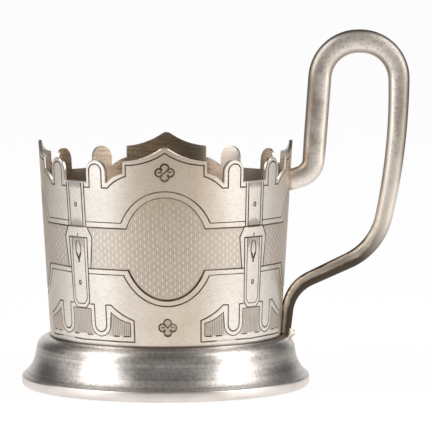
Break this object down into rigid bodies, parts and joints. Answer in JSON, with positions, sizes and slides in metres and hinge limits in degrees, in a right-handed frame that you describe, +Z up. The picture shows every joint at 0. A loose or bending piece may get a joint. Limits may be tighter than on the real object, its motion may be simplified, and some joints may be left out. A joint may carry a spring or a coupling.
{
  "type": "tea glass holder",
  "caption": "Silver tea glass holder: a tapering engraved sleeve with a cut, gabled rim on a flared foot, with a tall bent handle on one side.",
  "frame": {"origin": "middle of the foot, on the surface that it stands on", "axes": "+Z up along the sleeve's axis, +X towards the handle, the front of the sleeve faces -Y"},
  "size_m": [0.1076, 0.08, 0.0986],
  "materials": {
    "satin_silver": "satin silver with engraved, darkened lines",
    "polished_silver": "polished silver with a soft bloom",
    "inside_silver": "satin silver, toned brown inside",
    "worn_silver": "satin silver, scratched and pitted by use"
  },
  "bodies": {
    "root": {"sleeve": "satin_silver", "foot_skirt": "polished_silver", "foot_rim": "polished_silver", "floor_disc": "inside_silver", "handle": "worn_silver"}
  },
  "joints": []
}
